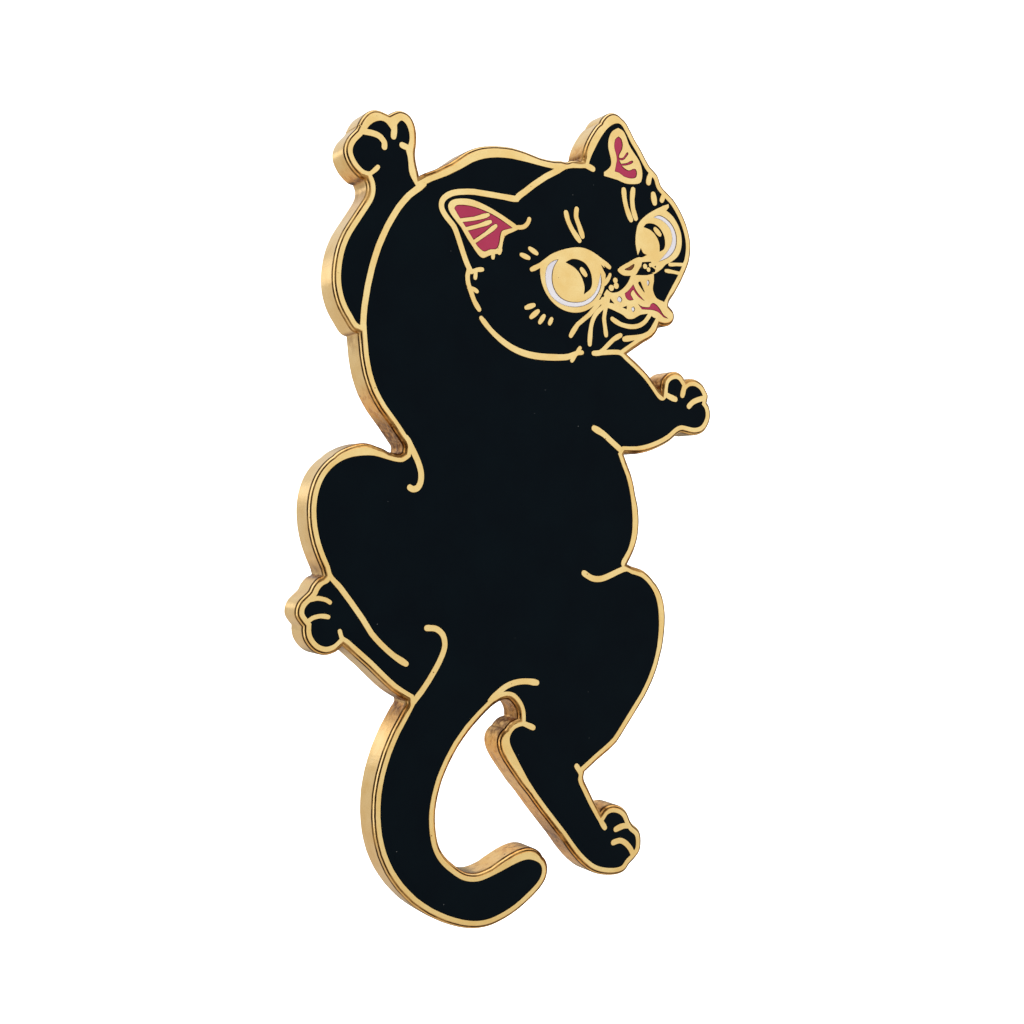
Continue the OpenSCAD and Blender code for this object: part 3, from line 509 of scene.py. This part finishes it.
class Shader:
    """A material with one principled shader, and short names for the nodes that feed it."""

    def __init__(self, name, **sockets):
        self.material = bpy.data.materials.new(name)
        self.material.use_nodes = True
        self.tree = self.material.node_tree
        self.shader = self.tree.nodes["Principled BSDF"]
        self.place = self.node("ShaderNodeTexCoord").outputs["Object"]
        for socket, value in sockets.items():
            self.shader.inputs[socket.replace("_", " ")].default_value = value

    def node(self, kind, inputs=(), **settings):
        made = self.tree.nodes.new(kind)
        for name, value in settings.items():
            setattr(made, name, value)
        for socket, value in dict(inputs).items():
            if hasattr(value, "is_output"):
                self.tree.links.new(value, made.inputs[socket])
            else:
                made.inputs[socket].default_value = value
        return made

    def stretched(self, scale):
        """Object coordinates, scaled along X, Y and Z."""
        inputs = {"Vector": self.place, "Scale": scale}
        return self.node("ShaderNodeMapping", inputs).outputs["Vector"]

    def noise(self, size, detail=4, rough=0.55, place=None):
        """Noise whose features are about size metres across, from 0 to 1."""
        inputs = {"Vector": place or self.place, "Scale": 1 / size, "Detail": detail, "Roughness": rough}
        return self.node("ShaderNodeTexNoise", inputs).outputs["Fac"]

    def specks(self, size, cover):
        """1 in small dots, size metres apart, whose radius is cover of that; 0 elsewhere."""
        cells = self.node("ShaderNodeTexVoronoi", {"Vector": self.place, "Scale": 1 / size})
        return self.ramp(cells.outputs["Distance"], [(cover * 0.6, 1), (cover, 0)])

    def ramp(self, value, stops):
        """value mapped through (place, grey or colour) stops."""
        made = self.node("ShaderNodeValToRGB", {"Fac": value})
        band = made.color_ramp
        while len(band.elements) < len(stops):
            band.elements.new(0.5)
        for element, (at, colour) in zip(band.elements, stops):
            element.position = at
            grey = not isinstance(colour, tuple)
            element.color = (colour, colour, colour, 1) if grey else (*colour, 1)
        return made.outputs["Color"]

    def value(self, name):
        """The number that each point of the mesh holds under this name."""
        return self.node("ShaderNodeAttribute", attribute_name=name).outputs["Fac"]

    def mix(self, share, first, second):
        """Colour that goes from first to second as share goes from 0 to 1."""
        made = self.node("ShaderNodeMix", data_type="RGBA")
        for socket, value in zip((0, 6, 7), (share, first, second)):
            if hasattr(value, "is_output"):
                self.tree.links.new(value, made.inputs[socket])
            elif socket:
                made.inputs[socket].default_value = (*value, 1)
            else:
                made.inputs[socket].default_value = value
        return made.outputs[2]

    def math(self, operation, first, second):
        return self.node("ShaderNodeMath", {0: first, 1: second}, operation=operation).outputs[0]

    def colour(self, output):
        self.tree.links.new(output, self.shader.inputs["Base Color"])

    def roughness(self, output):
        self.tree.links.new(output, self.shader.inputs["Roughness"])

    def bump(self, *layers):
        """Heights in metres, one (output, height) for each layer, the first laid on last."""
        normal = None
        for output, height in layers:
            inputs = {"Height": output, "Distance": height, "Strength": 1}
            if normal is not None:
                inputs["Normal"] = normal
            normal = self.node("ShaderNodeBump", inputs).outputs["Normal"]
        self.tree.links.new(normal, self.shader.inputs["Normal"])


GOLD_LIGHT = (0.95, 0.76, 0.37)
GOLD_DEEP = (0.88, 0.64, 0.26)
GOLD_GRAIN = (0.76, 0.52, 0.19)
GOLD_PIT = (0.35, 0.2, 0.08)
EDGE_LIGHT = (0.97, 0.71, 0.345)
EDGE_DEEP = (0.89, 0.60, 0.235)
# Painted coppery reflection in gaps, and painted dark shade in gaps and in nooks
PAINTED_GAP_REFLECTION = (0.98, 0.52, 0.15)
PAINTED_GAP_SHADE = (0.45, 0.16, 0.03)
PAINTED_NOOK_SHADE = (0.19, 0.07, 0.014)
EDGE_PIT = (0.12, 0.07, 0.03)
# Painted shade on the rolled edge and beside the raised lines: dark, and paler in patches
PAINTED_SHADE_DARK = (0.085, 0.04, 0.01)
PAINTED_SHADE_PALE = (0.5, 0.29, 0.09)
DUST = (0.45, 0.47, 0.48)


def polished_gold():
    """Line tops: ground flat with the enamel, with a fine grain, faint scratches and a few pits."""
    m = Shader("gold_line_tops", Metallic=1.0)
    patches = m.noise(1.6 * MM, 3)
    grain = m.noise(0.07 * MM, 5, 0.7)
    scratch = m.noise(0.05 * MM, 2, place=m.stretched((0.12, 1, 1)))
    pits = m.specks(0.9 * MM, 0.06)
    tint = m.mix(m.ramp(patches, [(0.35, 0), (0.65, 1)]), GOLD_LIGHT, GOLD_DEEP)
    tint = m.mix(m.ramp(grain, [(0.42, 0), (0.62, 0.3)]), tint, GOLD_GRAIN)
    m.colour(m.mix(pits, tint, GOLD_PIT))
    m.roughness(m.ramp(grain, [(0.3, 0.3), (0.7, 0.42)]))
    m.bump((grain, 1.6 * MICRON), (scratch, 1.2 * MICRON), (patches, 6 * MICRON))
    return m.material


def wall_gold():
    """The plate's edge: trimmed and tumbled, with faint marks across it. In gaps, where the tumbling hardly
    reaches, it is lumpy, with painted coppery reflection and patches of painted dark shade, and nooks get
    painted dark shade."""
    m = Shader("gold_edge", Metallic=1.0)
    patches = m.noise(1.1 * MM, 4)
    lumps = m.noise(0.42 * MM, 4)
    gap = m.ramp(m.value("gap"), [(0.2, 0), (0.75, 1)])
    nook = m.ramp(m.value("nook"), [(0.05, 0), (0.6, 1)])
    # Painted dark shade in nooks, in patches
    nook_shade = m.math("MULTIPLY", nook, m.ramp(lumps, [(0.35, 0.2), (0.55, 1)]))
    across = m.noise(0.28 * MM, 3, place=m.stretched((1, 0.18, 1)))
    grain = m.noise(0.06 * MM, 4, 0.7)
    pits = m.specks(1.7 * MM, 0.045)
    tint = m.mix(m.ramp(patches, [(0.35, 0), (0.7, 1)]), EDGE_LIGHT, EDGE_DEEP)
    # Painted coppery reflection where the wall faces other walls across a gap
    tint = m.mix(m.math("MULTIPLY", gap, 0.85), tint, PAINTED_GAP_REFLECTION)
    # Patches of painted dark shade in gaps
    gap_shade = m.math("MULTIPLY", gap, m.ramp(lumps, [(0.4, 0.5), (0.5, 0)]))
    tint = m.mix(gap_shade, tint, PAINTED_GAP_SHADE)
    tint = m.mix(nook_shade, tint, PAINTED_NOOK_SHADE)
    m.colour(m.mix(pits, tint, EDGE_PIT))
    m.roughness(m.ramp(grain, [(0.3, 0.14), (0.75, 0.26)]))
    cast = m.math("MULTIPLY", gap, lumps)
    m.bump((grain, 1 * MICRON), (across, 7 * MICRON), (patches, 20 * MICRON), (cast, 70 * MICRON))
    return m.material


def painted_shade_gold():
    """Painted shade: dark brown strips on the rolled edge and beside the raised lines, where shade falls as
    dark lines, paler in random patches.
    """
    m = Shader("painted_shade_under_rim", Metallic=1.0)
    patchy = m.ramp(m.noise(1.3 * MM, 4), [(0.46, 0), (0.66, 1)])
    grain = m.noise(0.08 * MM, 4)
    m.colour(m.mix(patchy, PAINTED_SHADE_DARK, PAINTED_SHADE_PALE))
    m.roughness(m.ramp(grain, [(0.3, 0.2), (0.7, 0.35)]))
    m.bump((grain, 1.5 * MICRON), (patchy, 4 * MICRON))
    return m.material


def back_gold():
    """The plate's back: a fine cast stipple under the same plating."""
    m = Shader("gold_stippled_back", Metallic=1.0)
    stipple = {"Vector": m.place, "Scale": 1 / (0.15 * MM)}
    cells = m.node("ShaderNodeTexVoronoi", stipple, feature="SMOOTH_F1")
    patches = m.noise(3 * MM, 3)
    grain = m.noise(0.05 * MM, 3)
    m.colour(m.mix(m.ramp(patches, [(0.35, 0), (0.7, 1)]), GOLD_LIGHT, GOLD_DEEP))
    m.roughness(m.ramp(grain, [(0.3, 0.3), (0.7, 0.45)]))
    m.bump((grain, 1.5 * MICRON), (cells.outputs["Distance"], 13 * MICRON), (patches, 12 * MICRON))
    return m.material


def hard_enamel(name, colour, tint, level=0.2):
    """Baked and polished enamel: glossy, with faint clouding, polishing haze and rare bright specks."""
    m = Shader(name)
    m.shader.inputs["Specular IOR Level"].default_value = level
    clouds = m.noise(2.6 * MM, 4)
    haze = m.noise(0.12 * MM, 4, 0.65)
    dust = m.specks(1.3 * MM, 0.022)
    base = m.mix(m.ramp(clouds, [(0.3, 0), (0.7, 1)]), colour, tint)
    m.colour(m.mix(m.math("MULTIPLY", dust, 0.35), base, DUST))
    m.roughness(m.ramp(haze, [(0.3, 0.07), (0.75, 0.15)]))
    m.bump((haze, 0.3 * MICRON), (clouds, 5 * MICRON))
    return m.material


def clutch_metal(name, light, deep, rough=0.2):
    """Stamped sheet: drawn grain, small dents and rubbed patches."""
    m = Shader(name, Metallic=1.0)
    patches = m.noise(2.2 * MM, 4)
    grain = m.noise(0.05 * MM, 3, place=m.stretched((1, 1, 0.15)))
    tint = m.mix(m.ramp(patches, [(0.35, 0), (0.7, 1)]), light, deep)
    m.colour(m.mix(m.specks(1.4 * MM, 0.05), tint, tuple(c * 0.4 for c in deep)))
    m.roughness(m.ramp(m.noise(0.3 * MM, 4), [(0.3, rough), (0.75, rough + 0.16)]))
    m.bump((grain, 1.2 * MICRON), (patches, 14 * MICRON))
    return m.material


# ---- pieces ----

# The last finish is the painted dark shade for the rolled edge and the line edges
GOLD_FINISHES = [polished_gold(), wall_gold(), back_gold(), painted_shade_gold()]
ENAMEL_FINISHES = {
    "black": hard_enamel("black_enamel_gloss", (0.0012, 0.0042, 0.0072), (0.0009, 0.0030, 0.0058), 0.035),
    "white": hard_enamel("white_enamel_gloss", (0.80, 0.80, 0.86), (0.68, 0.67, 0.76), 0.3),
    "pink": hard_enamel("pink_enamel_gloss", (0.42, 0.028, 0.095), (0.36, 0.022, 0.075), 0.25),
    "brown": hard_enamel("brown_enamel_gloss", (0.16, 0.045, 0.012), (0.12, 0.035, 0.01), 0.25),
}
NICKEL = clutch_metal("bright_nickel", (0.77, 0.74, 0.68), (0.64, 0.61, 0.55), 0.16)
SOLDER = clutch_metal("grey_solder", (0.62, 0.62, 0.61), (0.47, 0.47, 0.46), 0.36)
BRASS = clutch_metal("clutch_brass_sheet", (0.92, 0.74, 0.40), (0.82, 0.62, 0.30), 0.18)
SPRING = clutch_metal("spring_sheet", (0.74, 0.72, 0.68), (0.60, 0.58, 0.54), 0.2)


def fit_out(piece, body, node):
    """Puts the piece on its body in the node's place, and hides the node."""
    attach(piece, body)
    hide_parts(node)


def post(name, node):
    """A post with its flat head, keeper groove and blunt point."""
    low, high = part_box(node)
    head_r = (high.x - low.x) / 2
    groove_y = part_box(node.replace("post", "clutch_housing"))[1].y + 0.4 * MM
    tip_y = high.y - 1 * MM
    return turned(name, (low + high) / 2, [
        (head_r * 0.5, low.y, 0),
        (head_r, low.y, 0.03 * MM),
        (head_r, low.y + HEAD_T, 0.1 * MM),
        (POST_R, low.y + HEAD_T, 0.15 * MM),
        (POST_R, groove_y, 0.05 * MM),
        (POST_R - GROOVE_DEPTH, groove_y + GROOVE_DEPTH, 0.1 * MM),
        (POST_R - GROOVE_DEPTH, groove_y + 2 * GROOVE_DEPTH, 0.1 * MM),
        (POST_R, groove_y + 3 * GROOVE_DEPTH, 0.05 * MM),
        (POST_R, tip_y, 0.3 * MM),
        (0.1 * MM, high.y - 0.05 * MM, 0.15 * MM),
        (0.02 * MM, high.y, 0),
    ], NICKEL)


def solder_ring(name, node):
    """The fillet of solder round a post's head, with an uneven outer edge."""
    low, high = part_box(node)
    outer_r = (high.x - low.x) / 2
    inner_r = outer_r - 0.7 * MM
    return turned(name, (low + high) / 2, [
        (inner_r, high.y, 0),
        (inner_r, low.y, 0),
        (outer_r * 0.97, low.y, 0.02 * MM),
        (inner_r + 0.28 * MM, low.y + 0.12 * MM, 0.3 * MM),
        (inner_r + 0.04 * MM, high.y, 0.02 * MM),
        (inner_r, high.y, 0),
    ], SOLDER, closed=True, wobble=0.02)


def clutch_disc(name, node):
    """A stamped disc with a hole, a raised ring pressed into it and a rolled edge."""
    low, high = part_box(node)
    outer_r = (high.x - low.x) / 2
    roll_r = (high.y - low.y) / 2
    sheet_y = low.y + SHEET_T
    bore_r = POST_R + 0.2 * MM
    ridge_r = outer_r - 2.1 * roll_r - 0.3 * MM
    ridge_w = 0.3 * MM
    ridge_h = 0.12 * MM
    inner_r = outer_r - 2 * roll_r
    return turned(name, (low + high) / 2, [
        (bore_r, sheet_y - SHEET_T / 2, 0),
        (bore_r, low.y, 0.05 * MM),
        (ridge_r - ridge_w, low.y, 0.2 * MM),
        (ridge_r, low.y + ridge_h, 0.4 * MM),
        (ridge_r + ridge_w, low.y, 0.2 * MM),
        (outer_r, low.y, roll_r),
        (outer_r, high.y, roll_r),
        (inner_r, high.y, roll_r),
        (inner_r, sheet_y, 0.12 * MM),
        (ridge_r + ridge_w, sheet_y, 0.2 * MM),
        (ridge_r, sheet_y + ridge_h, 0.4 * MM),
        (ridge_r - ridge_w, sheet_y, 0.2 * MM),
        (bore_r, sheet_y, 0.05 * MM),
        (bore_r, sheet_y - SHEET_T / 2, 0),
    ], BRASS, closed=True)


fit_out(metal_base(GOLD_FINISHES), "pin", "metal_base")
for node, colour in ENAMELS.items():
    fit_out(enamel(node, ENAMEL_FINISHES[colour]), "pin", node)
for level in ("upper", "lower"):
    fit_out(post(f"{level}_pin_post", f"{level}_post"), "pin", f"{level}_post")
    ring_node = f"{level}_solder_ring"
    fit_out(solder_ring(f"{level}_solder", ring_node), "pin", ring_node)
    disc_node = f"{level}_clutch_disc"
    fit_out(clutch_disc(f"{level}_disc_shape", disc_node), f"{level}_disc", disc_node)
    cup_node = f"{level}_clutch_housing"
    cup = eased(f"{level}_cup", cup_node, BRASS, 0.06 * MM, crown_r=0.42 * MM, crown_reach=2 * MM)
    fit_out(cup, f"{level}_housing", cup_node)
    for side in ("top", "bottom"):
        leaf_node = f"{level}_clutch_{side}_leaf"
        leaf = eased(f"{level}_{side}_spring", leaf_node, SPRING, 0.05 * MM)
        fit_out(leaf, f"{level}_{side}_wing", leaf_node)


# ---- stage, light and camera ----

STAGE_R = 0.34
FLOOR_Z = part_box("metal_base")[0].z - 18 * MM
# Where the camera stands round from the front, in degrees, and how far from the front face
CAMERA_TURN = 30
CAMERA_FAR = 85.3 * MM
# Colours of the room below, level with the pin and above
ROOM_LOW = (0.62, 0.50, 0.38, 1)
ROOM_LEVEL = (0.67, 0.635, 0.57, 1)
ROOM_HIGH = (0.95, 0.95, 0.95, 1)


def make_stage():
    """A round pale floor that curves up into a wall all the way round."""
    profile = [(0, 0), (STAGE_R * 0.5, 0)]
    profile += [
        (STAGE_R * (0.5 + 0.5 * math.sin(a)), STAGE_R * 0.5 * (1 - math.cos(a)))
        for a in np.linspace(0, math.pi / 2, 14)[1:]
    ]
    profile += [(STAGE_R, STAGE_R * 2.5)]
    mesh = bmesh.new()
    around = 96
    rows = []
    for r, z in profile[1:]:
        rows.append([
            mesh.verts.new((r * math.cos(a), r * math.sin(a), FLOOR_Z + z))
            for a in np.linspace(0, 2 * math.pi, around, endpoint=False)
        ])
    middle = mesh.verts.new((0, 0, FLOOR_Z))
    for i in range(around):
        j = (i + 1) % around
        mesh.faces.new((middle, rows[0][i], rows[0][j]))
        for low, high in zip(rows, rows[1:]):
            mesh.faces.new((low[i], high[i], high[j], low[j]))
    data = bpy.data.meshes.new("studio_floor")
    mesh.to_mesh(data)
    mesh.free()
    data.polygons.foreach_set("use_smooth", [True] * len(data.polygons))
    floor = bpy.data.objects.new("studio_floor", data)
    bpy.context.scene.collection.objects.link(floor)
    m = Shader("pale_paper", Roughness=0.9)
    grain = m.noise(3 * MM, 3)
    m.colour(m.ramp(grain, [(0.3, 0.9), (0.7, 0.93)]))
    m.shader.inputs["Emission Color"].default_value = (1, 1, 1, 1)
    m.shader.inputs["Emission Strength"].default_value = 1.0
    data.materials.append(m.material)
    floor.visible_glossy = False
    floor.visible_diffuse = False
    floor.visible_shadow = False


def bearing(turn, rise):
    """Unit vector at turn degrees from the front towards the pin's left, and rise degrees up."""
    a, e = math.radians(turn), math.radians(rise)
    return Vector((-math.sin(a) * math.cos(e), -math.cos(a) * math.cos(e), math.sin(e)))


def soft_panel(name, turn, rise, width, height, glow, far=0.3, mirrored=True):
    """A soft box that faces the pin and looks glow bright from it. One that isn't mirrored only fills."""
    light = bpy.data.lights.new(name, "AREA")
    light.shape = "RECTANGLE"
    light.size = width
    light.size_y = height
    light.energy = glow * math.pi * width * height
    panel = bpy.data.objects.new(name, light)
    panel.location = bearing(turn, rise) * far
    panel.visible_glossy = mirrored
    panel.rotation_euler = bearing(turn, rise).to_track_quat("Z", "Y").to_euler()
    bpy.context.scene.collection.objects.link(panel)


def make_world():
    """A pale room that is brighter above, with dark gaps for contrast and a soft window behind the pin."""
    world = bpy.data.worlds.new("studio")
    bpy.context.scene.world = world
    world.use_nodes = True
    tree = world.node_tree
    way = tree.nodes.new("ShaderNodeTexCoord").outputs["Generated"]

    def spot(direction, inner, outer, level):
        """Goes from level within inner degrees of the direction to 1 beyond outer degrees."""
        dot = tree.nodes.new("ShaderNodeVectorMath")
        dot.operation = "DOT_PRODUCT"
        tree.links.new(way, dot.inputs[0])
        dot.inputs[1].default_value = direction
        ramp = tree.nodes.new("ShaderNodeMapRange")
        ramp.interpolation_type = "SMOOTHSTEP"
        tree.links.new(dot.outputs["Value"], ramp.inputs["Value"])
        ramp.inputs["From Min"].default_value = math.cos(math.radians(outer))
        ramp.inputs["From Max"].default_value = math.cos(math.radians(inner))
        ramp.inputs["To Min"].default_value = 1
        ramp.inputs["To Max"].default_value = level
        return ramp.outputs["Result"]

    def times(first, second):
        product = tree.nodes.new("ShaderNodeMath")
        product.operation = "MULTIPLY"
        tree.links.new(first, product.inputs[0])
        tree.links.new(second, product.inputs[1])
        return product.outputs[0]

    height = tree.nodes.new("ShaderNodeSeparateXYZ")
    tree.links.new(way, height.inputs[0])
    shade = tree.nodes.new("ShaderNodeValToRGB")
    remap = tree.nodes.new("ShaderNodeMapRange")
    tree.links.new(height.outputs["Z"], remap.inputs["Value"])
    remap.inputs["From Min"].default_value = -1
    tree.links.new(remap.outputs["Result"], shade.inputs["Fac"])
    shade.color_ramp.elements[0].color = ROOM_LOW
    shade.color_ramp.elements[1].color = ROOM_HIGH
    level = shade.color_ramp.elements.new(0.46)
    level.color = ROOM_LEVEL
    round_camera = spot(bearing(CAMERA_TURN, -4), 12, 28, 0.08)
    dark_gap = spot(bearing(110, 0), 9, 22, 0.15)
    dark_corner = spot(bearing(-152, -5), 10, 32, 0.35)
    window = spot(bearing(157, 12), 2, 9, 1.7)
    strength = times(times(times(round_camera, dark_gap), dark_corner), window)
    tree.links.new(shade.outputs["Color"], tree.nodes["Background"].inputs["Color"])
    tree.links.new(strength, tree.nodes["Background"].inputs["Strength"])


def make_camera():
    """The camera stands level with the pin, round to its left."""
    camera = bpy.data.objects.new("camera", bpy.data.cameras.new("camera"))
    target = Vector((-2 * MM, front_y, -2.5 * MM))
    away = bearing(CAMERA_TURN, 0)
    camera.location = target + away * CAMERA_FAR
    camera.rotation_euler = away.to_track_quat("Z", "Y").to_euler()
    camera.data.sensor_width = 36
    camera.data.lens = 49.5
    camera.data.clip_start = 1 * MM
    camera.data.clip_end = 10
    bpy.context.scene.collection.objects.link(camera)
    bpy.context.scene.camera = camera


make_stage()
make_world()
soft_panel("front_right_panel", -36, 14, 0.38, 0.42, 0.27)
soft_panel("left_panel", 66, 8, 0.2, 0.4, 0.5)
soft_panel("top_panel", 20, 78, 0.3, 0.3, 0.4)
soft_panel("front_fill", 5, 20, 0.4, 0.4, 0.75, mirrored=False)
make_camera()
bpy.context.scene.view_settings.view_transform = "Standard"
